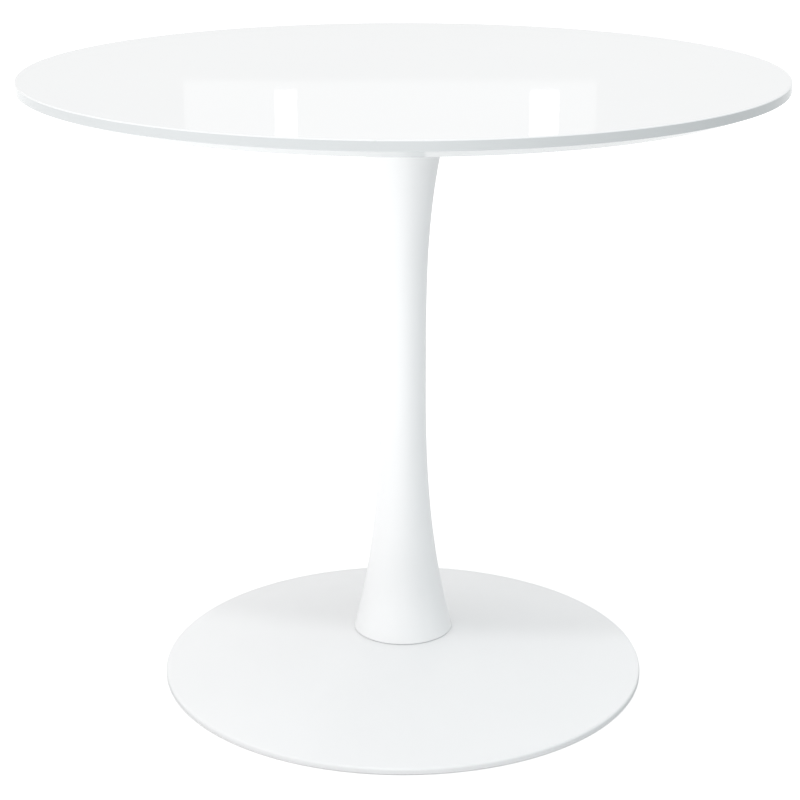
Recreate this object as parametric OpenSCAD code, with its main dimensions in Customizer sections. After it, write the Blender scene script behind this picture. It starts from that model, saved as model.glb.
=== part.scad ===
// Round pedestal table: a bevelled gloss top on a slender flared column, clamped by one long tie
// rod to a shallow domed disc base, which stands on four levelling glides. Millimetres, +Z up,
// with the floor at z = 0 and the column's axis on the Z axis.

/* [Top] */
// Height of the table surface above the floor
table_height = 762; // [710:1:800]
// Diameter of the board
top_d = 900; // [800:10:1000]
// Thickness of the board
top_t = 23; // [20:0.5:30]
// Height of the board's upright edge, with its rounded arris
edge_h = 11.5; // [8:0.5:15]
// How far the bevel under the edge runs inwards
bevel_in = 31.5; // [20:0.5:45]
// Radius of the rounded upper arris
arris_r = 2; // [1:0.5:3]

/* [Column] */
// Radius of the column at its waist
waist_r = 28.3; // [26:0.1:36]
// Height of the waist above the floor
waist_z = 393; // [340:1:440]
// Radius of the column's mouth, under the top
mouth_r = 64; // [62:0.5:72]
// Radius of the column's foot, on the base
foot_r = 62; // [61:0.5:64]
// How late the upper flare opens, where 2 is an even curve
mouth_curve = 3.25; // [2.5:0.05:3.6]
// How late the lower flare opens, where 2 is an even curve
foot_curve = 2.6; // [2:0.05:3]
// Thickness of the column's wall
column_wall = 3; // [2:0.1:3.5]

/* [Base] */
// Diameter of the base
base_d = 606; // [590:1:700]
// Height of the flat land in the middle, which the column stands on
land_z = 53; // [52:0.5:60]
// Radius of the flat land
land_r = 65; // [65:0.5:72]
// How far the dome bulges above a straight cone, halfway out
crown = 5; // [4:0.5:8]
// Gap between the rim and the floor
rim_gap = 1.5; // [1:0.1:1.6]
// Thickness of the spun sheet
shell_t = 2.6; // [1.5:0.1:2.8]
// Radius of the rounded edge where the dome turns down into the rim
rim_round = 3.5; // [3:0.5:4.5]
// Height of the centre of that rounded edge
rim_round_z = 5.8; // [5.5:0.1:7]
// Width of the hem turned in under the rim
hem_w = 6; // [5:0.5:10]

/* [Ballast plate] */
// Gap between the base's edge and the cast plate inside it
ballast_gap = 30; // [30:1:50]
// Thickness of the plate's outer part
ballast_t = 4; // [3:0.5:4]
// Thickness of a rib
rib_t = 7; // [5:0.5:9]

/* [Fixings] */
// Diameter of the mounting plate
plate_d = 300; // [290:10:340]
// Thickness of the mounting plate
plate_t = 3; // [2.5:0.5:4]
// Number of screws through the mounting plate
screw_count = 6; // [4:1:8]
// Circle that the screws stand on
screw_pcd = 260; // [200:10:270]
// Circle that the shell studs stand on
stud_pcd = 240; // [220:5:260]

/* [Glides] */
// Circle that the glides stand on
glide_pcd = 480; // [460:2:484]
// Diameter of a glide's pad
pad_d = 28; // [24:1:30]
// Height of a glide's pad
pad_h = 5; // [4.5:0.1:5]

/* [Hidden] */

// facets of the widest, the middling and the smallest round shapes
fine = 180;
medium = 96;
small = 48;

// rings along the column and along the dome
column_steps = 40;
dome_steps = 24;

// radial play between a thread or shaft and the bore it runs in
play = 0.05;

// heights of the stack, from the top down
top_under_z = table_height - top_t;
plate_under_z = top_under_z - plate_t;
gasket_t = 1;
gasket_inset = 1;
column_foot_z = land_z + gasket_t;

// M6 screws, studs, nuts and washers
m6_r = 3;
m6_hole_r = 3.3;
m6_washer_r = 6;
m6_washer_t = 1.6;
m6_nut_flats = 10;
m6_nut_h = 5;
screw_head_r = 5.25;
screw_head_h = 4;
screw_socket_flats = 4;
screw_socket_depth = 2.5;
screw_reach = 10;

// threaded inserts in the board
insert_r = 4.5;
insert_h = 13;
insert_flange_r = 6.5;
insert_flange_t = 1;

// M12 tie rod, from inside the mounting plate to below the clamp nut, and what is on it
rod_r = 6;
rod_hole_r = 6.6;
rod_chamfer = 1;
rod_tip_gap = 1.5;
rod_top_z = top_under_z - rod_tip_gap;
rod_foot_z = 9;
socket_flats = 19;
socket_h = 24;
clamp_nut_flats = 19;
clamp_nut_h = 10;
clamp_nut_z = 10;
spring_washer_r = 10.5;
spring_washer_t = 2.5;
spring_washer_split = 1.5;
clamp_washer_r = 20;
clamp_washer_t = 3;
spring_washer_z = clamp_nut_z + clamp_nut_h;
clamp_washer_z = spring_washer_z + spring_washer_t;
pocket_r = 23;
pocket_top_z = clamp_washer_z + clamp_washer_t;

// rings that centre the column on the plate and on the base
ring_w = 6;
ring_h = 7;
ring_gap = 0.7;
ring_r = column_r(plate_under_z - ring_h) - column_wall - ring_gap;
disc_h = 5;
disc_gap = 1.1;
disc_chamfer = 0.8;
disc_r = column_r(column_foot_z + disc_h) - column_wall - disc_gap;
gasket_w = 14;
disc_spigot_r = foot_r - gasket_inset - gasket_w;

// the base's dome ends where its slope meets the rounded edge
base_r = base_d / 2;
rim_turn = 75;
dome_end_r = base_r - rim_round + rim_round * cos(rim_turn);
dome_end_z = rim_round_z + rim_round * sin(rim_turn);
land_under_z = land_z - shell_t;

// the ballast plate's levels and radii
ballast_r = base_r - ballast_gap;
ballast_z = 8;
web_z = ballast_z + ballast_t;
thick_z = ballast_z + 12;
thick_r = 90;
thick_edge_r = 100;
hub_r = 40;
hub_foot_r = 46;
hub_foot_z = thick_z + 6;
rib_count = 8;
rib_in_z = 46;
rib_end_gap = 11;
rib_out_r = ballast_r - rib_end_gap;
rib_out_z = 14;
stud_count = 4;
stud_boss_r = 14;
stud_boss_z = 24;
stud_pocket_r = 9;
stud_pocket_z = 15.5;
stud_foot_z = 8.5;
stud_flange_r = 5.5;
stud_flange_t = 1.5;

// M8 glides: a stem's top stays clear of the dome above it
glide_count = 4;
glide_start = 45;
stem_r = 4;
stem_top_gap = 1.5;
stem_top_z = dome_z(glide_pcd / 2 + stem_r) - shell_t - stem_top_gap;
stem_chamfer = 0.8;
stem_seat_z = 2;
stem_gap = 0.2;
collar_flats = 13;
collar_h = 2.4;
glide_insert_r = 6.5;
glide_insert_top_z = 15;
glide_boss_r = 11;
pad_foot_r = pad_d / 2 - 1.5;
pad_top_r = pad_d / 2 - 2;
pad_side_z = [1.5, 3.5];

// ---- shape helpers ----

// Points of an arc about [x, y], from angle a to angle b, in n steps
function arc(x, y, r, a, b, n) = [for (i = [0 : n]) let (t = a + (b - a) * i / n)
    [x + r * cos(t), y + r * sin(t)]];

// Outer radius of the column at height z
function column_r(z) = z > waist_z
    ? waist_r + (mouth_r - waist_r) * pow((z - waist_z) / (plate_under_z - waist_z), mouth_curve)
    : waist_r + (foot_r - waist_r) * pow((waist_z - z) / (waist_z - column_foot_z), foot_curve);

// Height of the dome's outer face at radius r: a straight cone with a crown on it
function dome_z(r) = let (t = (r - land_r) / (dome_end_r - land_r))
    dome_end_z + (land_z - dome_end_z) * (1 - t) + 4 * crown * t * (1 - t);

// Radius of a hexagon's corners, from its width across flats
function hex_r(flats) = flats / 2 / cos(30);

// Copies of the children on a circle, the first one at angle start
module around(count, pcd, start = 0)
    for (i = [0 : count - 1])
        rotate(start + 360 * i / count) translate([pcd / 2, 0, 0]) children();

// A round disc with a hole, standing on z
module washer(r, hole_r, t, z, facets = small)
    translate([0, 0, z]) difference() {
        cylinder(h = t, r = r, $fn = facets);
        translate([0, 0, -1]) cylinder(h = t + 2, r = hole_r, $fn = facets);
    }

// A hexagon with a threaded bore, standing on z
module hex_nut(flats, bore_r, h, z)
    translate([0, 0, z]) difference() {
        cylinder(h = h, r = hex_r(flats), $fn = 6);
        translate([0, 0, -1]) cylinder(h = h + 2, r = bore_r + play, $fn = small);
    }

// A shaft from z_low to z_high with both ends chamfered
module shaft(r, z_low, z_high, chamfer)
    rotate_extrude($fn = small) polygon([[0, z_low], [r - chamfer, z_low], [r, z_low + chamfer],
        [r, z_high - chamfer], [r - chamfer, z_high], [0, z_high]]);

// ---- the top ----

// Board with a rounded upper arris, an upright edge and a bevel under it
module table_top() color("white") difference() {
    rotate_extrude($fn = fine) polygon(concat(
        [[0, top_under_z], [top_d / 2 - bevel_in, top_under_z],
            [top_d / 2, table_height - edge_h]],
        arc(top_d / 2 - arris_r, table_height - arris_r, arris_r, 0, 90, 6),
        [[0, table_height]]));
    around(screw_count, screw_pcd) {
        translate([0, 0, top_under_z - 1]) cylinder(h = insert_h + 1, r = insert_r, $fn = small);
        translate([0, 0, top_under_z - 1])
            cylinder(h = insert_flange_t + 1, r = insert_flange_r, $fn = small);
    }
}

// Flanged threaded inserts, flush with the board's underside
module insert_nuts() color("goldenrod") around(screw_count, screw_pcd) difference() {
    union() {
        translate([0, 0, top_under_z]) cylinder(h = insert_h, r = insert_r, $fn = small);
        translate([0, 0, top_under_z])
            cylinder(h = insert_flange_t, r = insert_flange_r, $fn = small);
    }
    translate([0, 0, top_under_z - 1])
        cylinder(h = insert_h, r = m6_r + play, $fn = small);
}

// Round plate between the board and the column, its lower edge chamfered
module mounting_plate() color("dimgray") difference() {
    rotate_extrude($fn = medium) polygon([[rod_hole_r, plate_under_z],
        [plate_d / 2 - 1, plate_under_z], [plate_d / 2, plate_under_z + 1],
        [plate_d / 2, top_under_z], [rod_hole_r, top_under_z]]);
    around(screw_count, screw_pcd)
        translate([0, 0, plate_under_z - 1]) cylinder(h = plate_t + 2, r = m6_hole_r, $fn = small);
}

// Pan-head screws with a hexagon socket
module plate_screws() color("silver") around(screw_count, screw_pcd)
    translate([0, 0, plate_under_z - m6_washer_t]) difference() {
        union() {
            cylinder(h = m6_washer_t + plate_t + screw_reach, r = m6_r, $fn = small);
            rotate_extrude($fn = small) polygon(concat([[0, 0], [screw_head_r, 0]],
                arc(screw_head_r - screw_head_h / 2, -screw_head_h / 2, screw_head_h / 2,
                    0, -90, 4),
                [[0, -screw_head_h]]));
        }
        translate([0, 0, -screw_head_h - 1])
            cylinder(h = screw_socket_depth + 1, r = hex_r(screw_socket_flats), $fn = 6);
    }

// Washers under the screw heads
module plate_washers() color("silver") around(screw_count, screw_pcd)
    washer(m6_washer_r, m6_hole_r, m6_washer_t, plate_under_z - m6_washer_t);

// Long hexagon nut welded under the plate
module rod_socket() color("gray")
    hex_nut(socket_flats, rod_r, socket_h, plate_under_z - socket_h);

// Ring welded under the plate, inside the column's mouth
module upper_locating_ring() color("gray")
    washer(ring_r, ring_r - ring_w, ring_h, plate_under_z - ring_h, medium);

// ---- the column ----

// Height of the column's ring number i
function ring_z(i) = column_foot_z + (plate_under_z - column_foot_z) * i / column_steps;

// Hollow column, flared at both ends from a slim waist
module column() color("white") rotate_extrude($fn = medium) polygon(concat(
    [for (i = [0 : column_steps]) [column_r(ring_z(i)), ring_z(i)]],
    [for (i = [column_steps : -1 : 0]) [column_r(ring_z(i)) - column_wall, ring_z(i)]]));

// Rod that clamps the plate, the column and the base together
module tie_rod() color("silver") shaft(rod_r, rod_foot_z, rod_top_z, rod_chamfer);

// Stepped disc inside the column's foot: its spigot sits inside the gasket
module lower_locating_disc() color("gray") rotate_extrude($fn = medium) polygon([
    [rod_hole_r, land_z], [disc_spigot_r, land_z], [disc_spigot_r, column_foot_z],
    [disc_r, column_foot_z], [disc_r, column_foot_z + disc_h - disc_chamfer],
    [disc_r - disc_chamfer, column_foot_z + disc_h], [rod_hole_r, column_foot_z + disc_h]]);

// Thin ring under the column's foot, set in a little so that it shows as a seam
module foot_gasket() color("lightgray")
    washer(foot_r - gasket_inset, disc_spigot_r, gasket_t, land_z, medium);

// ---- the base ----

// Radius of the dome's ring number i
function dome_ring(i) = land_r + (dome_end_r - land_r) * i / dome_steps;

// Spun dome with a flat land, a rounded edge, an upright rim and a turned-in hem
module base_shell() color("white") rotate_extrude($fn = fine) polygon(concat(
    [[rod_hole_r, land_under_z], [rod_hole_r, land_z]],
    [for (i = [0 : dome_steps]) [dome_ring(i), dome_z(dome_ring(i))]],
    arc(base_r - rim_round, rim_round_z, rim_round, rim_turn * 4 / 5, 0, 4),
    [[base_r, rim_gap], [base_r - hem_w, rim_gap], [base_r - hem_w, rim_gap + shell_t],
        [base_r - shell_t, rim_gap + shell_t]],
    [for (i = [dome_steps : -1 : 0]) [dome_ring(i), dome_z(dome_ring(i)) - shell_t]]));

// Everything above the dome's underside, to trim what is welded to it
module above_dome() rotate_extrude($fn = fine) polygon(concat(
    [[0, land_z * 2], [0, land_under_z]],
    [for (i = [0 : dome_steps]) [dome_ring(i), dome_z(dome_ring(i)) - shell_t]],
    [[dome_end_r, land_z * 2]]));

// One rib, standing on the plate along +X and sloping down outwards
module rib() translate([0, rib_t / 2, 0]) rotate([90, 0, 0]) linear_extrude(rib_t)
    polygon([[hub_r - 5, ballast_z + 1], [rib_out_r, ballast_z + 1], [rib_out_r, rib_out_z],
        [hub_r, rib_in_z], [hub_r - 5, rib_in_z]]);

// Cast plate: a flat web, a thick middle, a tall hub, radial ribs and bosses
module ballast_plate() color("darkslategray") difference() {
    union() {
        rotate_extrude($fn = medium) polygon([[0, ballast_z], [ballast_r - 1, ballast_z],
            [ballast_r, ballast_z + 1], [ballast_r, web_z - 1], [ballast_r - 1, web_z],
            [thick_edge_r, web_z], [thick_r, thick_z], [hub_foot_r, thick_z],
            [hub_r, hub_foot_z], [hub_r, land_under_z], [0, land_under_z]]);
        for (i = [0 : rib_count - 1]) rotate((i + 0.5) * 360 / rib_count) rib();
        around(glide_count, glide_pcd, glide_start) translate([0, 0, ballast_z])
            cylinder(h = glide_insert_top_z - ballast_z, r = glide_boss_r, $fn = small);
        around(stud_count, stud_pcd) translate([0, 0, ballast_z])
            cylinder(h = stud_boss_z - ballast_z, r = stud_boss_r, $fn = small);
    }
    translate([0, 0, ballast_z - 1])
        cylinder(h = pocket_top_z - ballast_z + 1, r = pocket_r, $fn = small);
    translate([0, 0, ballast_z]) cylinder(h = land_z, r = rod_hole_r, $fn = small);
    around(stud_count, stud_pcd) {
        translate([0, 0, ballast_z - 1])
            cylinder(h = stud_pocket_z - ballast_z + 1, r = stud_pocket_r, $fn = small);
        translate([0, 0, ballast_z]) cylinder(h = stud_boss_z, r = m6_hole_r, $fn = small);
    }
    around(glide_count, glide_pcd, glide_start) translate([0, 0, ballast_z - 1])
        cylinder(h = glide_insert_top_z, r = glide_insert_r, $fn = small);
}

// Studs welded to the dome's underside
module shell_studs() color("silver") difference() {
    around(stud_count, stud_pcd) {
        translate([0, 0, stud_foot_z]) cylinder(h = land_z - stud_foot_z, r = m6_r, $fn = small);
        translate([0, 0, dome_z(stud_pcd / 2) - shell_t - stud_flange_t])
            cylinder(h = land_z, r = stud_flange_r, $fn = small);
    }
    above_dome();
}

// Washers in the stud pockets
module stud_washers() color("silver") around(stud_count, stud_pcd)
    washer(m6_washer_r, m6_hole_r, m6_washer_t, stud_pocket_z - m6_washer_t);

// Nuts in the stud pockets
module stud_nuts() color("silver") around(stud_count, stud_pcd)
    hex_nut(m6_nut_flats, m6_r, m6_nut_h, stud_pocket_z - m6_washer_t - m6_nut_h);

// Wide washer against the top of the nut pocket
module clamp_washer() color("silver")
    washer(clamp_washer_r, rod_hole_r, clamp_washer_t, clamp_washer_z);

// Spring washer, split on one side
module clamp_spring_washer() color("dimgray") difference() {
    washer(spring_washer_r, rod_hole_r, spring_washer_t, spring_washer_z);
    translate([0, -spring_washer_split / 2, spring_washer_z - 1])
        cube([spring_washer_r + 1, spring_washer_split, spring_washer_t + 2]);
}

// Nut that tightens the whole table
module clamp_nut() color("silver") hex_nut(clamp_nut_flats, rod_r, clamp_nut_h, clamp_nut_z);

// ---- the levelling glides ----

// Threaded inserts in the ballast plate's bosses
module glide_inserts() color("goldenrod") around(glide_count, glide_pcd, glide_start)
    washer(glide_insert_r, stem_r + play, glide_insert_top_z - ballast_z, ballast_z);

// Places the children on glide number i's axis
module at_glide(i) rotate(glide_start + 360 * (i - 1) / glide_count) translate([glide_pcd / 2, 0, 0])
    children();

// Floor pad with a round seat for the stem
module glide_pad(i) color("dimgray") at_glide(i) rotate_extrude($fn = small) polygon([
    [0, 0], [pad_foot_r, 0], [pad_d / 2, pad_side_z[0]], [pad_d / 2, pad_side_z[1]],
    [pad_top_r, pad_h],
    [stem_r + play, pad_h], [stem_r + play, stem_seat_z], [0, stem_seat_z]]);

// Threaded stem with a hexagon collar to turn it by
module glide_stem(i) color("silver") at_glide(i) {
    shaft(stem_r, stem_seat_z + stem_gap, stem_top_z, stem_chamfer);
    translate([0, 0, pad_h + stem_gap])
        cylinder(h = collar_h, r = hex_r(collar_flats), $fn = 6);
}

// ---- the assembly ----

table_top();
insert_nuts();
mounting_plate();
plate_screws();
plate_washers();
rod_socket();
upper_locating_ring();
column();
tie_rod();
lower_locating_disc();
foot_gasket();
base_shell();
ballast_plate();
shell_studs();
stud_washers();
stud_nuts();
clamp_washer();
clamp_spring_washer();
clamp_nut();
glide_inserts();
for (i = [1 : glide_count]) {
    glide_pad(i);
    glide_stem(i);
}
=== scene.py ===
# Looks of the round pedestal table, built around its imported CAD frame. Metres, +Z up.
import math

import bmesh
import bpy
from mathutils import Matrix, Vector


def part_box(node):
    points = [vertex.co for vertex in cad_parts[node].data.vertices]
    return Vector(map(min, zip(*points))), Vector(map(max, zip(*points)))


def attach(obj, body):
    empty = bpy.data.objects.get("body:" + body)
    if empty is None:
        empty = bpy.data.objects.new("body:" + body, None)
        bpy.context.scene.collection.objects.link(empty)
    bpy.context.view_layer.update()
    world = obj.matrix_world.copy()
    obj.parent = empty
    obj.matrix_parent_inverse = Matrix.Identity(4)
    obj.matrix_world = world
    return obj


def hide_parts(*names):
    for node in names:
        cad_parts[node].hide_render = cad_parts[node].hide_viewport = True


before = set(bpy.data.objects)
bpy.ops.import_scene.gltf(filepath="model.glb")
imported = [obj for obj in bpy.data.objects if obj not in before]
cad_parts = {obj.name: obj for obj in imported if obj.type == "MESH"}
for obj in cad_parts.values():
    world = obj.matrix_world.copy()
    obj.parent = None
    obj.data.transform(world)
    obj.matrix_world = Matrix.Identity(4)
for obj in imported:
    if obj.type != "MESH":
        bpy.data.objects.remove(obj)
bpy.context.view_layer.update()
scene = bpy.context.scene
MM = 0.001
TURN = 2 * math.pi

# ---------------------------------------------------------------- sizes that the nodes don't give
TOP_LOW, TOP_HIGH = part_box("table_top")
TOP_R = TOP_HIGH.x
TOP_UNDER_Z, TOP_Z = TOP_LOW.z, TOP_HIGH.z
BEVEL_IN, EDGE_H, ARRIS_R = 31.5 * MM, 11.5 * MM, 2.0 * MM
PLATE_LOW_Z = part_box("mounting_plate")[0].z
COL_LOW, COL_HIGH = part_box("column")
COL_FOOT_Z, COL_MOUTH_Z = COL_LOW.z, COL_HIGH.z
WAIST_R, WAIST_Z = 28.3 * MM, 393 * MM
MOUTH_R, FOOT_R = 64 * MM, 62 * MM
MOUTH_CURVE, FOOT_CURVE, COL_WALL = 3.25, 2.6, 3 * MM
BASE_LOW, BASE_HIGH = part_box("base_shell")
BASE_R, LAND_Z, RIM_Z = BASE_HIGH.x, BASE_HIGH.z, BASE_LOW.z
LAND_R, CROWN, SHELL_T = 65 * MM, 5 * MM, 2.6 * MM
RIM_ROUND, RIM_ROUND_Z, RIM_TURN, HEM_W = 3.5 * MM, 5.8 * MM, math.radians(75), 6 * MM
DOME_END_R = BASE_R - RIM_ROUND + RIM_ROUND * math.cos(RIM_TURN)
DOME_END_Z = RIM_ROUND_Z + RIM_ROUND * math.sin(RIM_TURN)
ROD_HOLE_R = 6.6 * MM
# circles that the screws, the studs and the glides stand on
SCREW_R = 130 * MM
STUD_R = 120 * MM
GLIDE_R = 240 * MM
# threads: radius, pitch, and the radius of the bore that takes them
M6_R, M6_PITCH, M6_BORE = 3 * MM, 1 * MM, 3.05 * MM
M8_R, M8_PITCH, M8_BORE = 4 * MM, 1.25 * MM, 4.05 * MM
M12_R, M12_PITCH, M12_BORE = 6 * MM, 1.75 * MM, 6.05 * MM
# the top's threaded inserts: the flange, and the body with its barbs and the grooves between them
FLANGE_R, FLANGE_T = 6.5 * MM, 1 * MM
INSERT_R, GROOVE_R, INSERT_H = 4.5 * MM, 4.15 * MM, 13 * MM
WASHER_R, WASHER_HOLE_R, WASHER_T = 6 * MM, 3.3 * MM, 1.6 * MM


# ---------------------------------------------------------------- shape helpers
def column_r(z):
    """Outer radius of the column at height z."""
    if z > WAIST_Z:
        t = (z - WAIST_Z) / (COL_MOUTH_Z - WAIST_Z)
        return WAIST_R + (MOUTH_R - WAIST_R) * t ** MOUTH_CURVE
    t = (WAIST_Z - z) / (WAIST_Z - COL_FOOT_Z)
    return WAIST_R + (FOOT_R - WAIST_R) * t ** FOOT_CURVE


def dome_z(r):
    """Height of the dome's outer face at radius r."""
    t = (r - LAND_R) / (DOME_END_R - LAND_R)
    return DOME_END_Z + (LAND_Z - DOME_END_Z) * (1 - t) + 4 * CROWN * t * (1 - t)


def arc(x, y, r, a, b, n):
    """Points of an arc about (x, y), from angle a to angle b in degrees."""
    out = []
    for i in range(n + 1):
        t = math.radians(a + (b - a) * i / n)
        out.append((x + r * math.cos(t), y + r * math.sin(t)))
    return out


def rounded(outline, radius, steps=4):
    """The closed outline with its corners rounded. radius is one number, or one for each corner."""
    out, count = [], len(outline)
    for i, point in enumerate(outline):
        r = radius[i] if isinstance(radius, (list, tuple)) else radius
        p = Vector(point)
        a, b = Vector(outline[i - 1]) - p, Vector(outline[(i + 1) % count]) - p
        if r <= 0 or a.length < 1e-9 or b.length < 1e-9:
            out.append(tuple(p))
            continue
        half = a.angle(b) / 2
        if half > math.radians(88):
            out.append(tuple(p))
            continue
        cut = min(r / math.tan(half), 0.45 * a.length, 0.45 * b.length)
        start, end = p + a.normalized() * cut, p + b.normalized() * cut
        for k in range(steps + 1):
            t = k / steps
            # a quadratic curve through the corner is near enough to an arc at this size
            q = start * (1 - t) ** 2 + p * 2 * t * (1 - t) + end * t ** 2
            out.append(tuple(q))
    return out


def across_flats(flats, corner=0.0):
    """Radius of a hexagon as a function of the angle, with its corners eased by corner."""
    def radius(angle):
        a = (angle + TURN / 12) % (TURN / 6) - TURN / 12
        return min(flats / 2 / math.cos(a), flats / math.sqrt(3) - corner)
    return radius


def value(x, angle):
    """x itself, or x at this angle where it is a function of the angle."""
    return x(angle) if callable(x) else x


def mesh_object(name, bm, material, body="root", stands_for=(), sharp=38):
    """Turns bm into a smooth object with sharp edges marked, and hands it to the frame."""
    bmesh.ops.remove_doubles(bm, verts=bm.verts, dist=1e-7)
    bmesh.ops.recalc_face_normals(bm, faces=bm.faces)
    for face in bm.faces:
        face.smooth = True
    limit = math.radians(sharp)
    for edge in bm.edges:
        edge.smooth = len(edge.link_faces) == 2 and edge.calc_face_angle(0) < limit
    mesh = bpy.data.meshes.new(name)
    bm.to_mesh(mesh)
    bm.free()
    obj = bpy.data.objects.new(name, mesh)
    scene.collection.objects.link(obj)
    mesh.materials.append(material)
    weighted = obj.modifiers.new("flat faces stay flat", "WEIGHTED_NORMAL")
    weighted.keep_sharp = True
    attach(obj, body)
    if stands_for:
        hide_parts(*stands_for)
    return obj


def turned(bm, outline, segments=64, places=((0, 0),), loop=True):
    """Adds outline turned about each place's Z axis. Its points are (radius, z), and either may be
    a function of the angle. A point at radius 0 is one vertex."""
    for px, py in places:
        rings = []
        for r, z in outline:
            if not callable(r) and abs(r) < 1e-9:
                rings.append([bm.verts.new((px, py, value(z, 0)))])
                continue
            ring = []
            for k in range(segments):
                a = TURN * k / segments
                out = value(r, a)
                spot = (px + out * math.cos(a), py + out * math.sin(a), value(z, a))
                ring.append(bm.verts.new(spot))
            rings.append(ring)
        pairs = list(zip(rings, rings[1:]))
        if loop:
            pairs.append((rings[-1], rings[0]))
        for one, two in pairs:
            if len(one) == 1 and len(two) == 1:
                continue
            for k in range(segments):
                n = (k + 1) % segments
                if len(one) == 1:
                    bm.faces.new((one[0], two[k], two[n]))
                elif len(two) == 1:
                    bm.faces.new((one[k], one[n], two[0]))
                else:
                    bm.faces.new((one[k], one[n], two[n], two[k]))
    return bm


def ring_places(radius, count, start=0.0):
    """Places evenly spaced on a circle about the table's axis."""
    angles = [start + TURN * k / count for k in range(count)]
    return [(radius * math.cos(a), radius * math.sin(a)) for a in angles]


def thread_rings(r, pitch, z_from, z_to, depth, chamfer=0.0, per_turn=8):
    """Outline points of a thread from z_from up to z_to, run out at both ends. A negative depth
    cuts the groove outward from r, as in a bore. chamfer tapers the lower end."""
    run_out = 0.6 * pitch
    steps = max(2, int(round((z_to - z_from) / pitch * per_turn)))
    points = []
    for i in range(steps + 1):
        z = z_from + (z_to - z_from) * i / steps
        ends = min(1.0, (z - z_from) / run_out, (z_to - z) / run_out)
        ease = chamfer * max(0.0, 1 - (z - z_from) / max(chamfer, 1e-9)) if chamfer else 0.0

        def radius(angle, z=z, ends=ends, ease=ease):
            phase = (z / pitch - angle / TURN) % 1.0
            # under 0 it is the flat crest, and over 1 the flat root
            flank = 1.15 * abs(2 * phase - 1) - 0.1
            return r - ease - depth * max(0.0, ends) * min(1.0, max(0.0, flank))
        points.append((radius, z))
    return points


# ---------------------------------------------------------------- materials
class Nodes:
    """A material's node tree with short calls for the nodes used here."""

    def __init__(self, name, color, roughness, metallic=0.0, **sockets):
        self.material = bpy.data.materials.new(name)
        self.material.use_nodes = True
        self.tree = self.material.node_tree
        self.shader = self.tree.nodes["Principled BSDF"]
        self.shader.inputs["Base Color"].default_value = (*color, 1)
        self.shader.inputs["Roughness"].default_value = roughness
        self.shader.inputs["Metallic"].default_value = metallic
        for key, v in sockets.items():
            self.shader.inputs[key.replace("_", " ")].default_value = v
        self.where = self.add("ShaderNodeTexCoord").outputs["Object"]

    def add(self, kind, **settings):
        node = self.tree.nodes.new(kind)
        for key, v in settings.items():
            setattr(node, key, v)
        return node

    def link(self, a, b):
        self.tree.links.new(a, b)

    def noise(self, scale, detail=3.0, roughness=0.5, stretch=None, distortion=0.0):
        node = self.add("ShaderNodeTexNoise")
        node.inputs["Scale"].default_value = scale
        node.inputs["Detail"].default_value = detail
        node.inputs["Roughness"].default_value = roughness
        node.inputs["Distortion"].default_value = distortion
        vector = self.where
        if stretch:
            mapping = self.add("ShaderNodeMapping")
            mapping.inputs["Scale"].default_value = stretch
            self.link(self.where, mapping.inputs["Vector"])
            vector = mapping.outputs["Vector"]
        self.link(vector, node.inputs["Vector"])
        return node.outputs["Fac"]

    def ramp(self, fac, low, high, a=0.35, b=0.65):
        """Maps fac from [a, b] to the colours or greys low..high."""
        node = self.add("ShaderNodeValToRGB")
        stops = node.color_ramp.elements
        stops[0].position, stops[1].position = a, b
        stops[0].color = (*low, 1) if isinstance(low, tuple) else (low, low, low, 1)
        stops[1].color = (*high, 1) if isinstance(high, tuple) else (high, high, high, 1)
        self.link(fac, node.inputs["Fac"])
        return node.outputs["Color"]

    def color(self, output):
        self.link(output, self.shader.inputs["Base Color"])

    def mix(self, fac, a, b):
        node = self.add("ShaderNodeMix", data_type="RGBA")
        self.link(fac, node.inputs["Factor"])
        self.link(a, node.inputs["A"])
        self.link(b, node.inputs["B"])
        return node.outputs["Result"]

    def roughness(self, fac, low, high):
        node = self.add("ShaderNodeMapRange")
        node.inputs["From Min"].default_value = 0.3
        node.inputs["From Max"].default_value = 0.7
        node.inputs["To Min"].default_value = low
        node.inputs["To Max"].default_value = high
        self.link(fac, node.inputs["Value"])
        self.link(node.outputs["Result"], self.shader.inputs["Roughness"])

    def bumps(self, *layers):
        """Stacked bumps, each (height, strength, distance in metres)."""
        normal = None
        for height, strength, distance in layers:
            node = self.add("ShaderNodeBump")
            node.inputs["Strength"].default_value = strength
            node.inputs["Distance"].default_value = distance
            self.link(height, node.inputs["Height"])
            if normal is not None:
                self.link(normal, node.inputs["Normal"])
            normal = node.outputs["Normal"]
        self.link(normal, self.shader.inputs["Normal"])

    def worn_edges(self, base, worn, radius=0.0006):
        """Mixes worn into base along edges, where the bevelled normal leaves the true one."""
        bevel = self.add("ShaderNodeBevel", samples=4)
        bevel.inputs["Radius"].default_value = radius
        geometry = self.add("ShaderNodeNewGeometry")
        dot = self.add("ShaderNodeVectorMath", operation="DOT_PRODUCT")
        self.link(bevel.outputs["Normal"], dot.inputs[0])
        self.link(geometry.outputs["Normal"], dot.inputs[1])
        mask = self.add("ShaderNodeMapRange")
        mask.inputs["From Min"].default_value = 0.999
        mask.inputs["From Max"].default_value = 0.93
        self.link(dot.outputs["Value"], mask.inputs["Value"])
        return self.mix(mask.outputs["Result"], base, worn)


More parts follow.
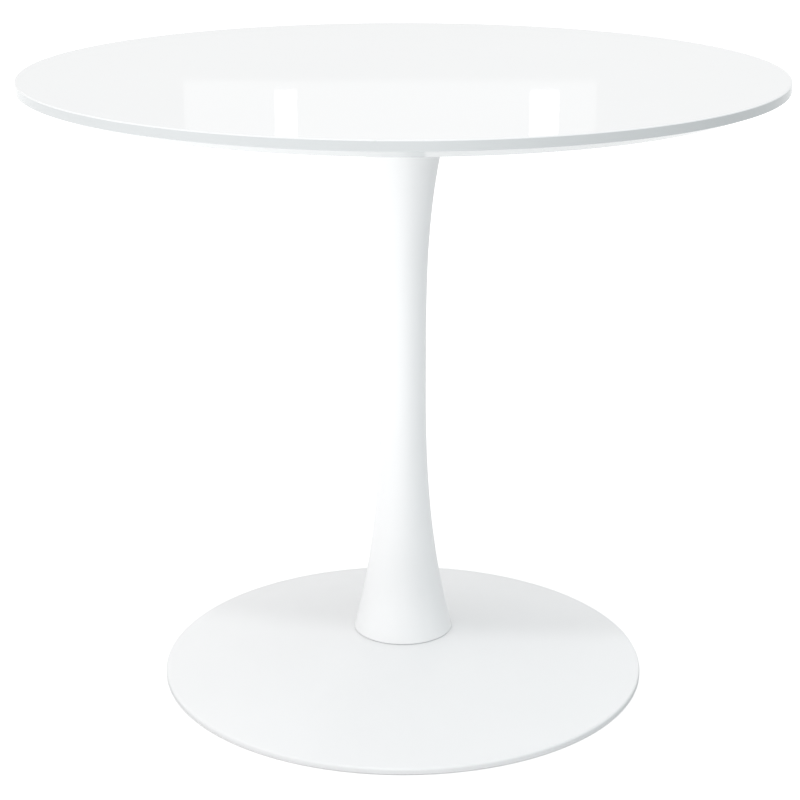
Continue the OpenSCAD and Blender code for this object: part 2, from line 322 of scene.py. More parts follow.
def gloss_lacquer():
    m = Nodes("gloss_lacquer", (0.82, 0.825, 0.828), 0.02, IOR=1.5)
    face = m.ramp(m.noise(2.2, 2), (0.815, 0.820, 0.823), (0.827, 0.832, 0.835))
    edge = m.ramp(m.noise(9, 3), (0.545, 0.562, 0.568), (0.560, 0.577, 0.583))
    # painted shade: where the surface faces sideways or down (the edge and the underside) it gets a
    # cooler, darker tone than the face that looks up
    split = m.add("ShaderNodeSeparateXYZ")
    m.link(m.add("ShaderNodeTexCoord").outputs["Normal"], split.inputs[0])
    m.color(m.mix(m.ramp(split.outputs["Z"], 1.0, 0.0, 0.15, 0.45), face, edge))
    m.roughness(m.noise(7, 3), 0.012, 0.03)
    m.bumps((m.noise(210, 2, 0.4), 0.07, 0.0001), (m.noise(14, 1), 0.04, 0.0005))
    return m.material


def white_powder_coat():
    m = Nodes("white_powder_coat", (0.895, 0.897, 0.90), 0.34, IOR=1.5)
    m.color(m.ramp(m.noise(5, 3), (0.888, 0.890, 0.893), (0.902, 0.904, 0.907)))
    m.roughness(m.noise(30, 3), 0.30, 0.38)
    m.bumps((m.noise(900, 2, 0.45), 0.16, 0.00010), (m.noise(230, 2), 0.10, 0.00025))
    return m.material


def black_powder_coat():
    m = Nodes("black_powder_coat", (0.02, 0.02, 0.022), 0.5)
    tone = m.ramp(m.noise(420, 3), (0.019, 0.019, 0.021), (0.027, 0.027, 0.030))
    worn = m.ramp(m.noise(300, 2), (0.09, 0.09, 0.095), (0.14, 0.14, 0.145))
    m.color(m.worn_edges(tone, worn))
    m.roughness(m.noise(380, 3), 0.44, 0.56)
    m.bumps((m.noise(1100, 2), 0.30, 0.00012), (m.noise(300, 2), 0.10, 0.0002))
    return m.material


def zinc_bright():
    m = Nodes("zinc_bright", (0.66, 0.68, 0.71), 0.25, 1.0)
    m.color(m.ramp(m.noise(180, 4), (0.58, 0.60, 0.64), (0.73, 0.74, 0.76)))
    m.roughness(m.noise(420, 4), 0.18, 0.36)
    m.bumps((m.noise(1500, 3), 0.12, 0.00006),)
    return m.material


def zinc_yellow():
    m = Nodes("zinc_yellow", (0.72, 0.56, 0.26), 0.28, 1.0)
    m.color(m.ramp(m.noise(160, 4, distortion=1.2), (0.74, 0.58, 0.25), (0.66, 0.58, 0.42)))
    m.roughness(m.noise(420, 4), 0.2, 0.38)
    m.bumps((m.noise(1500, 3), 0.12, 0.00006),)
    return m.material


def plain_steel():
    m = Nodes("plain_steel", (0.42, 0.42, 0.43), 0.4, 1.0)
    m.color(m.ramp(m.noise(90, 5), (0.34, 0.33, 0.33), (0.48, 0.48, 0.49)))
    m.roughness(m.noise(200, 4), 0.3, 0.52)
    m.bumps((m.noise(500, 3, stretch=(1, 1, 4)), 0.2, 0.0001),)
    return m.material


def spring_steel():
    m = Nodes("spring_steel", (0.12, 0.125, 0.14), 0.36, 1.0)
    m.color(m.ramp(m.noise(250, 4), (0.09, 0.095, 0.11), (0.17, 0.175, 0.19)))
    m.roughness(m.noise(400, 4), 0.28, 0.48)
    m.bumps((m.noise(1300, 3), 0.15, 0.00006),)
    return m.material


def cast_iron():
    m = Nodes("cast_iron_primed", (0.05, 0.055, 0.06), 0.72)
    tone = m.ramp(m.noise(160, 4), (0.046, 0.050, 0.054), (0.062, 0.067, 0.072))
    worn = m.ramp(m.noise(200, 3), (0.11, 0.11, 0.11), (0.17, 0.165, 0.16))
    m.color(m.worn_edges(tone, worn, 0.0009))
    m.roughness(m.noise(260, 4), 0.66, 0.82)
    m.bumps((m.noise(520, 4, 0.6), 0.50, 0.0004), (m.noise(130, 3), 0.16, 0.0006))
    return m.material


def gasket_grey():
    m = Nodes("gasket_grey", (0.60, 0.61, 0.62), 0.6)
    m.color(m.ramp(m.noise(80, 3), (0.57, 0.58, 0.59), (0.64, 0.65, 0.66)))
    m.roughness(m.noise(300, 3), 0.52, 0.7)
    m.bumps((m.noise(900, 3), 0.3, 0.0001),)
    return m.material


def nylon_grey():
    m = Nodes("nylon_grey", (0.16, 0.165, 0.17), 0.45, Subsurface_Weight=0.05)
    m.color(m.ramp(m.noise(120, 3), (0.145, 0.15, 0.155), (0.185, 0.19, 0.195)))
    m.roughness(m.noise(350, 3), 0.38, 0.55)
    m.bumps((m.noise(1100, 3), 0.22, 0.00008), (m.noise(60, 2), 0.1, 0.0005))
    return m.material


LACQUER, WHITE, BLACK = gloss_lacquer(), white_powder_coat(), black_powder_coat()
ZINC, YELLOW, STEEL, SPRING = zinc_bright(), zinc_yellow(), plain_steel(), spring_steel()
IRON, GASKET, NYLON = cast_iron(), gasket_grey(), nylon_grey()


# ---------------------------------------------------------------- the top
def working_object(name, bm):
    """An object that is only used to make another, and removed after that."""
    bmesh.ops.recalc_face_normals(bm, faces=bm.faces)
    mesh = bpy.data.meshes.new(name)
    bm.to_mesh(mesh)
    bm.free()
    obj = bpy.data.objects.new(name, mesh)
    scene.collection.objects.link(obj)
    return obj


def table_top():
    z = TOP_UNDER_Z
    corners = [(0, z), (TOP_R - BEVEL_IN, z), (TOP_R, TOP_Z - EDGE_H), (TOP_R, TOP_Z), (0, TOP_Z)]
    outline = rounded(corners, [0, 2.0 * MM, 1.0 * MM, 0, 0], 5)
    outline[-2:-1] = arc(TOP_R - ARRIS_R, TOP_Z - ARRIS_R, ARRIS_R, 0, 90, 8)
    # points along the long faces too, so that no face is a sliver from rim to middle
    long_gap, step = 20 * MM, 40 * MM
    spread = []
    for a, b in zip(outline, outline[1:]):
        spread.append(a)
        gap = math.dist(a, b)
        if gap > long_gap:
            n = int(gap / step) + 1
            spread += [(a[0] + (b[0] - a[0]) * k / n, a[1] + (b[1] - a[1]) * k / n)
                       for k in range(1, n)]
    spread.append(outline[-1])
    bm = turned(bmesh.new(), spread, 384, loop=False)
    hole = [(0, z - FLANGE_T), (FLANGE_R, z - FLANGE_T), (FLANGE_R, z + FLANGE_T),
            (INSERT_R, z + FLANGE_T), (INSERT_R, z + INSERT_H), (0, z + INSERT_H)]
    holes = working_object("cutter", turned(bmesh.new(), hole, 48, ring_places(SCREW_R, 6)))
    bmesh.ops.remove_doubles(bm, verts=bm.verts, dist=1e-7)
    board = working_object("board", bm)
    cut = board.modifiers.new("insert holes", "BOOLEAN")
    cut.object, cut.operation, cut.solver = holes, "DIFFERENCE", "EXACT"
    bpy.context.view_layer.update()
    graph = bpy.context.evaluated_depsgraph_get()
    drilled = bpy.data.meshes.new_from_object(board.evaluated_get(graph))
    bm = bmesh.new()
    bm.from_mesh(drilled)
    bpy.data.objects.remove(board)
    bpy.data.objects.remove(holes)
    return mesh_object("board_gloss", bm, LACQUER,
                       stands_for=["table_top"], sharp=30)


def insert_nuts():
    z = TOP_UNDER_Z
    lip = M6_BORE + 0.4 * MM
    outline = rounded([(lip, z), (FLANGE_R, z), (FLANGE_R, z + FLANGE_T)], 0.15 * MM, 2)
    for k in range(6):  # the barbs that hold it in the board
        low = z + (1.4 + 1.9 * k) * MM
        outline += [(GROOVE_R, low), (INSERT_R - 0.05 * MM, low + 0.7 * MM),
                    (GROOVE_R, low + 1.4 * MM)]
    outline += [(4.1 * MM, z + INSERT_H), (lip, z + INSERT_H), (M6_BORE, z + 12.5 * MM)]
    thread = thread_rings(M6_BORE, M6_PITCH, z + 0.5 * MM, z + 12 * MM, -0.25 * MM, per_turn=5)
    bm = turned(bmesh.new(), outline + thread[::-1], 40, ring_places(SCREW_R, 6))
    return mesh_object("insert_nuts_flanged", bm, YELLOW,
                       stands_for=["insert_nuts"])


def plate_screws():
    head_h, head_r, round_r, shank = 4 * MM, 5.25 * MM, 2 * MM, 14.6 * MM
    under = PLATE_LOW_Z - WASHER_T
    head_low, tip = under - head_h, under + shank
    recess, recess_mouth = across_flats(4 * MM, 0.1 * MM), across_flats(4.5 * MM, 0.1 * MM)
    outline = [(0, head_low + 2.5 * MM), (recess, head_low + 2.4 * MM),
               (recess, head_low + 0.15 * MM), (recess_mouth, head_low)]
    outline += arc(head_r - round_r, head_low + round_r, round_r, -90, 0, 7)
    outline += [(head_r, under - 0.2 * MM), (head_r - 0.2 * MM, under), (M6_R + 0.3 * MM, under),
                (M6_R, under + 0.3 * MM)]
    outline += thread_rings(M6_R, M6_PITCH, under + 3 * MM, tip - 0.6 * MM, 0.5 * MM)
    outline += [(2.4 * MM, tip), (0, tip)]
    bm = turned(bmesh.new(), outline, 48, ring_places(SCREW_R, 6), loop=False)
    return mesh_object("plate_screws_pan_head", bm, ZINC,
                       stands_for=["plate_screws"])


def ring_section(inner, outer, low, high, radius):
    """A flat ring's outline, with its corners rounded."""
    return rounded([(inner, low), (outer, low), (outer, high), (inner, high)], radius, 3)


def washers(name, node, radius, hole, places):
    low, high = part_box(node)
    section = ring_section(hole, radius, low.z, high.z, 0.25 * MM)
    bm = turned(bmesh.new(), section, 64, places)
    return mesh_object(name, bm, ZINC, stands_for=[node])


# ---------------------------------------------------------------- the column and what is inside it
def column():
    steps = 150
    heights = [COL_FOOT_Z + (COL_MOUTH_Z - COL_FOOT_Z) * i / steps for i in range(steps + 1)]
    outer = [(column_r(z), z) for z in heights]
    inner = [(column_r(z) - COL_WALL, z) for z in reversed(heights)]
    # the end edges are eased; the outer face is a little narrower there, as it slopes
    ease = 0.45 * MM
    foot_r, mouth_r = column_r(COL_FOOT_Z) - 0.05 * MM, column_r(COL_MOUTH_Z) - 0.2 * MM
    outer[0] = (foot_r, COL_FOOT_Z + ease)
    outer[-1] = (mouth_r, COL_MOUTH_Z - ease)
    foot = arc(foot_r - ease, COL_FOOT_Z + ease, ease, -90, -18, 3)
    mouth = arc(mouth_r - ease, COL_MOUTH_Z - ease, ease, 18, 90, 3)
    bm = turned(bmesh.new(), foot + outer + mouth + inner, 256)
    return mesh_object("column_flared", bm, WHITE, stands_for=["column"])


def tie_rod():
    low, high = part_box("tie_rod")
    depth, plain_r = 0.95 * MM, 5.9 * MM
    lower_end, upper_end = low.z + 45 * MM, high.z - 35 * MM
    outline = [(0, low.z), (4.9 * MM, low.z)]
    outline += thread_rings(M12_R, M12_PITCH, low.z + 0.4 * MM, lower_end - 1 * MM, depth,
                            0.9 * MM, 7)
    outline += [(plain_r, lower_end), (plain_r, upper_end)]
    outline += thread_rings(M12_R, M12_PITCH, upper_end + 1 * MM, high.z - 0.8 * MM, depth, 0, 7)
    outline += [(5.0 * MM, high.z), (0, high.z)]
    bm = turned(bmesh.new(), outline, 48, loop=False)
    return mesh_object("tie_rod_threaded", bm, ZINC, stands_for=["tie_rod"])


def corner_chamfer(full, eased, start, slope):
    """Height of a hexagon's chamfer, which starts at height start where full is at most eased."""
    return lambda angle: start + slope * max(0.0, full(angle) - eased)


def hex_nut(name, node, flats, bore, pitch, places, material):
    """A nut with chamfered corners and a threaded bore."""
    low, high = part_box(node)
    z0, z1 = low.z, high.z
    side = 0.09 * flats  # the flats begin this far from each face
    full, eased = across_flats(flats, flats * 0.012), flats * 0.475
    mouth, entry, lead = bore + 0.5 * MM, bore + 0.02 * MM, 0.5 * MM
    outline = [(mouth, z0), (eased, z0), (full, corner_chamfer(full, eased, z0, 0.5)),
               (full, z0 + side), (full, z1 - side),
               (full, corner_chamfer(full, eased, z1, -0.5)), (eased, z1), (mouth, z1),
               (entry, z1 - lead)]
    thread = thread_rings(bore, pitch, z0 + 0.55 * MM, z1 - 0.6 * MM, -0.24 * pitch, per_turn=6)
    outline += thread[::-1] + [(entry, z0 + lead)]
    bm = turned(bmesh.new(), outline, 72, places)
    return mesh_object(name, bm, material, stands_for=[node], sharp=25)


def foot_gasket():
    low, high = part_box("foot_gasket")
    hole_r = 47 * MM
    bm = turned(bmesh.new(), ring_section(hole_r, high.x, low.z, high.z, 0.3 * MM), 192)
    return mesh_object("foot_gasket_ring", bm, GASKET, stands_for=["foot_gasket"])


# ---------------------------------------------------------------- the base
def base_shell():
    steps = 110
    outline = [(ROD_HOLE_R, LAND_Z - SHELL_T), (ROD_HOLE_R, LAND_Z)]
    outline += [(ROD_HOLE_R + 0.3 * MM, LAND_Z), (30 * MM, LAND_Z), (LAND_R - 1.5 * MM, LAND_Z)]
    radii = [LAND_R + (DOME_END_R - LAND_R) * i / steps for i in range(steps + 1)]
    outline += [(r, dome_z(r) - (0.05 * MM if i == 0 else 0)) for i, r in enumerate(radii)]
    outline += arc(BASE_R - RIM_ROUND, RIM_ROUND_Z, RIM_ROUND, 65, 0, 9)
    foot_r, hem_r = 0.8 * MM, 0.4 * MM  # rounding of the rim's lower edge and of the hem's edges
    hem_x = BASE_R - HEM_W + hem_r
    outline += arc(BASE_R - foot_r, RIM_Z + foot_r, foot_r, 0, -90, 4)
    outline += arc(hem_x, RIM_Z + hem_r, hem_r, -90, -180, 3)
    outline += arc(hem_x, RIM_Z + SHELL_T - hem_r, hem_r, 180, 90, 3)
    outline += [(BASE_R - SHELL_T, RIM_Z + SHELL_T)]
    outline += [(r, dome_z(r) - SHELL_T) for r in reversed(radii[:-1])]
    bm = turned(bmesh.new(), outline, 384)
    return mesh_object("base_shell_spun", bm, WHITE, stands_for=["base_shell"])


def shell_studs():
    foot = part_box("shell_studs")[0].z
    under = dome_z(STUD_R) - SHELL_T
    plain_r, flange_r = 2.9 * MM, 5.5 * MM
    outline = [(0, foot), (2.3 * MM, foot)]
    outline += thread_rings(M6_R, M6_PITCH, foot + 0.3 * MM, under - 6 * MM, 0.5 * MM, 0.5 * MM, 7)
    outline += [(plain_r, under - 5.5 * MM), (plain_r, under - 2.6 * MM),
                (3.4 * MM, under - 1.9 * MM), (5.3 * MM, under - 1.5 * MM),
                (flange_r, under - 1.2 * MM)]
    bm = bmesh.new()
    for k, place in enumerate(ring_places(STUD_R, 4)):
        direction = TURN * k / 4

        def dome(angle, direction=direction):
            r = STUD_R + flange_r * math.cos(angle - direction)
            return dome_z(r) - SHELL_T
        turned(bm, outline + [(flange_r, dome), (0, under)], 48, [place], loop=False)
    return mesh_object("shell_studs_welded", bm, ZINC, stands_for=["shell_studs"])


def spring_washer():
    low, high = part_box("clamp_spring_washer")
    half_split = 0.75 * MM
    section = ring_section(ROD_HOLE_R, 10.5 * MM, low.z, high.z, 0.3 * MM)
    bm = bmesh.new()
    rows, count = [], 72
    for k in range(count + 1):
        row = []
        for r, z in section:
            a0 = math.asin(half_split / r)
            a = a0 + (TURN - 2 * a0) * k / count
            row.append(bm.verts.new((r * math.cos(a), r * math.sin(a), z)))
        rows.append(row)
    n = len(section)
    for a, b in zip(rows, rows[1:]):
        for i in range(n):
            bm.faces.new((a[i], a[(i + 1) % n], b[(i + 1) % n], b[i]))
    bm.faces.new(rows[0])
    bm.faces.new(rows[-1])
    return mesh_object("clamp_spring_washer_split", bm, SPRING,
                       stands_for=["clamp_spring_washer"])


# ---------------------------------------------------------------- the levelling glides
def glide_pad(number, place):
    node = f"glide_pad_{number}"
    low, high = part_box(node)
    seat, side, seat_z = M8_BORE, (high.x - low.x) / 2, 2.0 * MM
    corners = [(0, 0), (side - 1.5 * MM, 0), (side, 1.5 * MM), (side, 3.5 * MM),
               (side - 2 * MM, high.z), (seat + 0.3 * MM, high.z), (seat, high.z - 0.3 * MM),
               (seat, seat_z), (0, seat_z)]
    outline = rounded(corners, [0, 0.5 * MM, 0.6 * MM, 0.6 * MM, 0.5 * MM, 0, 0, 0, 0], 4)
    # two shallow moulded rings on the face that stands on the floor
    foot = [(0, 0.25 * MM), (4 * MM, 0.25 * MM), (4.4 * MM, 0), (7.4 * MM, 0),
            (7.7 * MM, 0.35 * MM), (8.3 * MM, 0.35 * MM), (8.6 * MM, 0)]
    bm = turned(bmesh.new(), foot + outline[1:], 72, [place], loop=False)
    mesh_object(f"{node}_moulded", bm, NYLON, node, [node])


def glide_stem(number, place):
    node = f"glide_stem_{number}"
    low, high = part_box(node)
    collar0, collar1 = 5.2 * MM, 7.6 * MM
    full, eased, slope = across_flats(13 * MM, 0.2 * MM), 6.15 * MM, 0.45
    outline = [(0, low.z), (3.2 * MM, low.z), (M8_R, low.z + 0.8 * MM), (M8_R, collar0),
               (eased, collar0), (full, corner_chamfer(full, eased, collar0, slope)),
               (full, (collar0 + collar1) / 2),
               (full, corner_chamfer(full, eased, collar1, -slope)), (eased, collar1),
               (3.6 * MM, collar1)]
    outline += thread_rings(M8_R, M8_PITCH, collar1 + 0.1 * MM, high.z - 0.8 * MM, 0.62 * MM)
    outline += [(3.1 * MM, high.z), (0, high.z)]
    bm = turned(bmesh.new(), outline, 72, [place], loop=False)
    mesh_object(f"{node}_threaded", bm, ZINC, node, [node], sharp=25)


def glide_inserts(places):
    low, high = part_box("glide_inserts")
    lead = 0.5 * MM
    outline = ring_section(M8_BORE + lead, 6.5 * MM, low.z, high.z, [0, 0.3 * MM, 0.3 * MM, 0])
    outline += [(M8_BORE, high.z - lead)]
    thread = thread_rings(M8_BORE, M8_PITCH, low.z + lead, high.z - 0.6 * MM, -0.3 * MM,
                          per_turn=6)
    bm = turned(bmesh.new(), outline + thread[::-1], 56, places)
    return mesh_object("glide_inserts_threaded", bm, YELLOW,
                       stands_for=["glide_inserts"])


SCREWS, STUDS, MIDDLE = ring_places(SCREW_R, 6), ring_places(STUD_R, 4), [(0, 0)]
GLIDES = ring_places(GLIDE_R, 4, TURN / 8)
table_top()
insert_nuts()
plate_screws()
washers("plate_washers_flat", "plate_washers", WASHER_R, WASHER_HOLE_R, SCREWS)
column()
tie_rod()
foot_gasket()
base_shell()
shell_studs()
washers("stud_washers_flat", "stud_washers", WASHER_R, WASHER_HOLE_R, STUDS)
hex_nut("stud_nuts_chamfered", "stud_nuts", 10 * MM, M6_BORE, M6_PITCH, STUDS,
        ZINC)
washers("clamp_washer_wide", "clamp_washer", 20 * MM, ROD_HOLE_R, MIDDLE)
spring_washer()
hex_nut("clamp_nut_chamfered", "clamp_nut", 19 * MM, M12_BORE, M12_PITCH, MIDDLE,
        ZINC)
hex_nut("rod_socket_hexagon", "rod_socket", 19 * MM, M12_BORE, M12_PITCH, MIDDLE,
        BLACK)
glide_inserts(GLIDES)
for index, spot in enumerate(GLIDES, 1):
    glide_pad(index, spot)
    glide_stem(index, spot)

# nodes whose CAD shape stays: they get a finish, and edges eased by this many millimetres
KEPT = {"mounting_plate": (BLACK, 0.4), "upper_locating_ring": (BLACK, 0.4),
        "lower_locating_disc": (STEEL, 0.3), "ballast_plate": (IRON, 0.7)}
for kept, (finish, width) in KEPT.items():
    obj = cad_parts[kept]
    obj.data.materials.clear()
    obj.data.materials.append(finish)
    weld = obj.modifiers.new("weld", "WELD")
    weld.merge_threshold = 1e-6
    flat = obj.modifiers.new("flat faces whole", "DECIMATE")
    flat.decimate_type, flat.angle_limit = "DISSOLVE", math.radians(0.5)
    ease = obj.modifiers.new("eased edges", "BEVEL")
    ease.width, ease.segments, ease.limit_method = width * MM, 3, "ANGLE"
    ease.angle_limit, ease.harden_normals = math.radians(30), True
    weighted = obj.modifiers.new("flat faces stay flat", "WEIGHTED_NORMAL")
    weighted.keep_sharp = True


# ---------------------------------------------------------------- helpers for the floor and the sky
def feed(tree, node, values):
    """Links or sets the node's first inputs, in order. None leaves an input as it is."""
    for socket, v in zip(node.inputs, values):
        if isinstance(v, bpy.types.NodeSocket):
            tree.links.new(v, socket)
        elif v is not None:
            socket.default_value = v


def shader_node(tree, kind, *values):
    """A new node fed with values, and its first output."""
    node = tree.nodes.new(kind)
    feed(tree, node, values)
    return node.outputs[0]


def math_node(tree, operation, *values, clamp=False):
    node = tree.nodes.new("ShaderNodeMath")
    node.operation, node.use_clamp = operation, clamp
    feed(tree, node, values)
    return node.outputs[0]


def finish_tree(tree, kind, surface):
    """Adds the output node, which has no outputs of its own."""
    tree.links.new(surface, tree.nodes.new(kind).inputs["Surface"])


def empty_tree(owner):
    """The cleared node tree of a material or world."""
    owner.use_nodes = True
    owner.node_tree.nodes.clear()
    return owner.node_tree


def around_fac(tree, x, y):
    """0..1 once around the circle from the left, through the front, the right and the back."""
    return math_node(tree, "MULTIPLY_ADD", math_node(tree, "ARCTAN2", y, x), 1 / TURN, 0.5)


# levels go up to SKY_PEAK, and a ramp's colours only to 1, so they are divided by it and the
# strength is multiplied by it
SKY_PEAK = 2.0
# a slight cool tint: strongest here on the circle, between right front and right, and gone this
# far to either side
COOL_AT, COOL_REACH, BLUE_GAIN = 0.42, 0.2, 0.3


def ramp_around(tree, fac, levels, tint=0.0, peak=SKY_PEAK):
    """A colour ramp once around the circle, with evenly spaced levels."""
    node = tree.nodes.new("ShaderNodeValToRGB")
    stops = node.color_ramp.elements
    levels = list(levels) + [levels[0]]
    last = len(levels) - 1
    for i in range(1, last):
        stops.new(i / last)
    for i, (stop, level) in enumerate(zip(stops, levels)):
        red = 1 - tint * max(0.0, 1 - abs(i / last - COOL_AT) / COOL_REACH)
        blue = 1 + (1 - red) * BLUE_GAIN
        stop.color = (level * red / peak, level / peak, level / peak * blue, 1)
    tree.links.new(fac, node.inputs["Fac"])
    return node.outputs["Color"]


def stage_plane(name, size, location, rotation, material):
    bm = bmesh.new()
    bmesh.ops.create_grid(bm, x_segments=1, y_segments=1, size=0.5)
    for v in bm.verts:
        v.co.x *= size[0]
        v.co.y *= size[1]
    mesh = bpy.data.meshes.new(name)
    bm.to_mesh(mesh)
    bm.free()
    obj = bpy.data.objects.new(name, mesh)
    obj.location, obj.rotation_euler = location, rotation
    mesh.materials.append(material)
    scene.collection.objects.link(obj)
    return obj


# ---------------------------------------------------------------- floor
# Every row of levels is for left, left front, front, right front, right, right back, back and
# left back. The glow stands for a studio floor that is lit more than this sky lights it, most at
# the left front.
FLOOR_Y, FLOOR_SIZE = 20.0, 80  # the floor's middle is behind the table, for a far horizon
FLOOR_GLOW = (0.55, 1.05, 0.95, 0.0, 0.0, 0.15, 0.35, 0.45)
FLOOR_SHADE = (0.7, 0.7, 0.7, 0.6, 0.55, 0.65, 0.7, 0.7)
FLOOR_TINT = 0.05
# from the table's axis: no glow up to GLOW_FROM, all of it from GLOW_OVER further out
GLOW_FROM, GLOW_OVER = 0.27, 0.25
NEAR_SHADE = 0.7  # the floor's tone near the base, as a share of its tone further out
FLOOR_SEEN_TONE, FLOOR_SEEN_GLOW = 0.95, 0.3
UNDER_BASE_R = 0.285

floor_material = bpy.data.materials.new("floor_pale")
tree = empty_tree(floor_material)
place = tree.nodes.new("ShaderNodeSeparateXYZ")
tree.links.new(tree.nodes.new("ShaderNodeTexCoord").outputs["Object"], place.inputs[0])
floor_x, floor_y = place.outputs["X"], math_node(tree, "ADD", place.outputs["Y"], FLOOR_Y)
around = around_fac(tree, floor_x, floor_y)
y_squared = math_node(tree, "MULTIPLY", floor_y, floor_y)
distance = math_node(tree, "SQRT", math_node(tree, "MULTIPLY_ADD", floor_x, floor_x, y_squared))
outward = math_node(tree, "MULTIPLY_ADD", distance, 1 / GLOW_OVER, -GLOW_FROM / GLOW_OVER,
                    clamp=True)

# what lights the table: a shaded white floor, with the glow added
shade = tree.nodes.new("ShaderNodeVectorMath")
shade.operation = "SCALE"
tree.links.new(ramp_around(tree, around, FLOOR_SHADE, FLOOR_TINT, 1.0), shade.inputs[0])
tree.links.new(math_node(tree, "MULTIPLY_ADD", outward, 1 - NEAR_SHADE, NEAR_SHADE),
               shade.inputs["Scale"])
true_lit = shader_node(tree, "ShaderNodeBsdfDiffuse", shade.outputs[0])
true_glow = shader_node(tree, "ShaderNodeEmission", ramp_around(tree, around, FLOOR_GLOW),
                        math_node(tree, "MULTIPLY", outward, SKY_PEAK))
true_floor = shader_node(tree, "ShaderNodeAddShader", true_lit, true_glow)

# what the camera sees: plain near-white that still takes a faint shadow
seen_lit = shader_node(tree, "ShaderNodeBsdfDiffuse", (FLOOR_SEEN_TONE,) * 3 + (1,))
seen_glow = shader_node(tree, "ShaderNodeEmission", None, FLOOR_SEEN_GLOW)
seen_floor = shader_node(tree, "ShaderNodeAddShader", seen_lit, seen_glow)
from_camera = tree.nodes.new("ShaderNodeLightPath").outputs["Is Camera Ray"]
floor_top = shader_node(tree, "ShaderNodeMixShader", from_camera, true_floor, seen_floor)

# from below the floor is clear, and it lets light in under the base, so that the underside can
# be looked at
from_below = tree.nodes.new("ShaderNodeNewGeometry").outputs["Backfacing"]
under_base = math_node(tree, "LESS_THAN", distance, UNDER_BASE_R)
let_light_in = math_node(tree, "SUBTRACT", under_base, from_camera, clamp=True)
floor_open = math_node(tree, "MAXIMUM", from_below, let_light_in)
clear = shader_node(tree, "ShaderNodeBsdfTransparent")
finish_tree(tree, "ShaderNodeOutputMaterial",
            shader_node(tree, "ShaderNodeMixShader", floor_open, floor_top, clear))
stage_plane("floor", (FLOOR_SIZE, FLOOR_SIZE), (0, FLOOR_Y, 0), (0, 0, 0), floor_material)

# ---------------------------------------------------------------- sky
# Soft white all around, brightest overhead and dimmest low on the right front. Each row is one
# height: the horizon, a third of the way up and two thirds, with its tint.
SKY_HORIZON = (0.8, 0.85, 0.8, 0.45, 0.7, 0.85, 0.85, 0.8)
SKY_THIRD = (1.0, 1.1, 0.95, 0.8, 0.95, 0.95, 0.95, 0.9)
SKY_TWO_THIRDS = (1.05, 1.1, 1.0, 0.95, 1.0, 1.05, 1.05, 1.05)
SKY_TOP = 1.75
HORIZON_TINT, THIRD_TINT, TWO_THIRDS_TINT = 0.10, 0.09, 0.04

world = bpy.data.worlds.new("studio")
scene.world = world
tree = empty_tree(world)
place = tree.nodes.new("ShaderNodeSeparateXYZ")
tree.links.new(tree.nodes.new("ShaderNodeTexCoord").outputs["Generated"], place.inputs[0])
around = around_fac(tree, place.outputs["X"], place.outputs["Y"])
climb = math_node(tree, "ARCSINE", place.outputs["Z"])


def blend_up(low, high, start):
    """Mixes low into high over one third of the way up, from start thirds above the horizon."""
    third = TURN / 12
    node = tree.nodes.new("ShaderNodeMix")
    node.data_type = "RGBA"
    tree.links.new(math_node(tree, "MULTIPLY_ADD", climb, 1 / third, -start, clamp=True),
                   node.inputs["Factor"])
    tree.links.new(low, node.inputs["A"])
    if isinstance(high, float):
        node.inputs["B"].default_value = (high / SKY_PEAK,) * 3 + (1,)
    else:
        tree.links.new(high, node.inputs["B"])
    return node.outputs["Result"]


sky = blend_up(ramp_around(tree, around, SKY_HORIZON, HORIZON_TINT),
               ramp_around(tree, around, SKY_THIRD, THIRD_TINT), 0)
sky = blend_up(sky, ramp_around(tree, around, SKY_TWO_THIRDS, TWO_THIRDS_TINT), 1)
sky = blend_up(sky, SKY_TOP, 2)
lit = shader_node(tree, "ShaderNodeBackground", sky, SKY_PEAK)
plain = shader_node(tree, "ShaderNodeBackground", (1, 1, 1, 1))
from_camera = tree.nodes.new("ShaderNodeLightPath").outputs["Is Camera Ray"]
finish_tree(tree, "ShaderNodeOutputWorld",
            shader_node(tree, "ShaderNodeMixShader", from_camera, lit, plain))

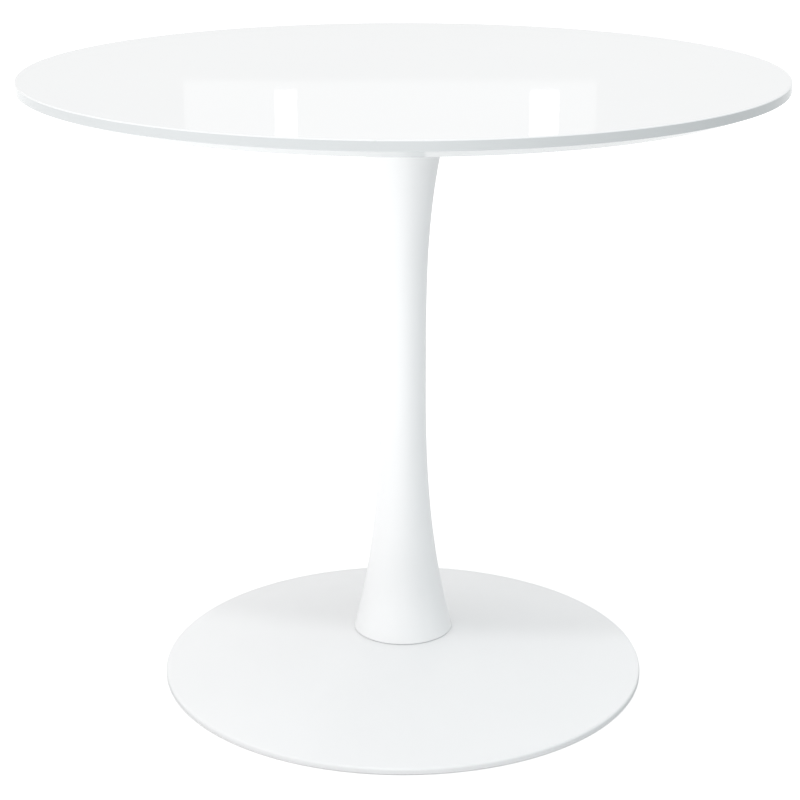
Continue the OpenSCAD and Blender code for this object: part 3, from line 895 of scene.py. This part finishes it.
# ---------------------------------------------------------------- lamps and camera
# softboxes behind the table, seen only mirrored in the gloss top. The bars stand a little in
# front of the wide one. Each row: name, left, right, bottom, top, radiance, distance behind
SOFTBOXES = (
    ("softbox_wide", -0.69, 0.62, 1.385, 3.2, 0.97, 4.0),
    ("softbox_bar_left", -0.400, -0.331, 1.418, 3.2, 1.75, 3.98),
    ("softbox_bar_right", 0.409, 0.499, 1.418, 3.2, 1.75, 3.98),
)
for name, x0, x1, z0, z1, radiance, y in SOFTBOXES:
    material = bpy.data.materials.new(name)
    tree = empty_tree(material)
    finish_tree(tree, "ShaderNodeOutputMaterial",
                shader_node(tree, "ShaderNodeEmission", None, radiance))
    box = stage_plane(name, (x1 - x0, z1 - z0), ((x0 + x1) / 2, y, (z0 + z1) / 2),
                      (math.radians(90), 0, 0), material)
    box.visible_camera = False
    box.visible_shadow = False

# a weak key light from high in front, a little left: it gives the top's soft shadow on the base
KEY_ENERGY, KEY_ANGLE = 0.45, math.radians(4)
KEY_TURN, KEY_CLIMB = math.radians(8), math.radians(58)
key_data = bpy.data.lights.new("key", "SUN")
key_data.energy, key_data.angle = KEY_ENERGY, KEY_ANGLE
key = bpy.data.objects.new("key", key_data)
scene.collection.objects.link(key)
towards = Vector((-math.sin(KEY_TURN) * math.cos(KEY_CLIMB),
                  -math.cos(KEY_TURN) * math.cos(KEY_CLIMB), math.sin(KEY_CLIMB)))
key.rotation_euler = towards.to_track_quat("Z", "Y").to_euler()

# the camera fitted to the photograph: in front, and looking down by CAMERA_DOWN degrees
CAMERA_AT, CAMERA_DOWN, CAMERA_LENS = (-0.0038, -2.3648, 1.1114), 17.724, 90.34
camera_data = bpy.data.cameras.new("camera")
camera_data.sensor_width, camera_data.lens = 36.0, CAMERA_LENS
camera_data.clip_end = 200
camera = bpy.data.objects.new("camera", camera_data)
camera.location = CAMERA_AT
camera.rotation_euler = (math.radians(90 - CAMERA_DOWN), 0, 0)
scene.collection.objects.link(camera)
scene.camera = camera
scene.view_settings.view_transform = "Standard"
scene.view_settings.look = "None"
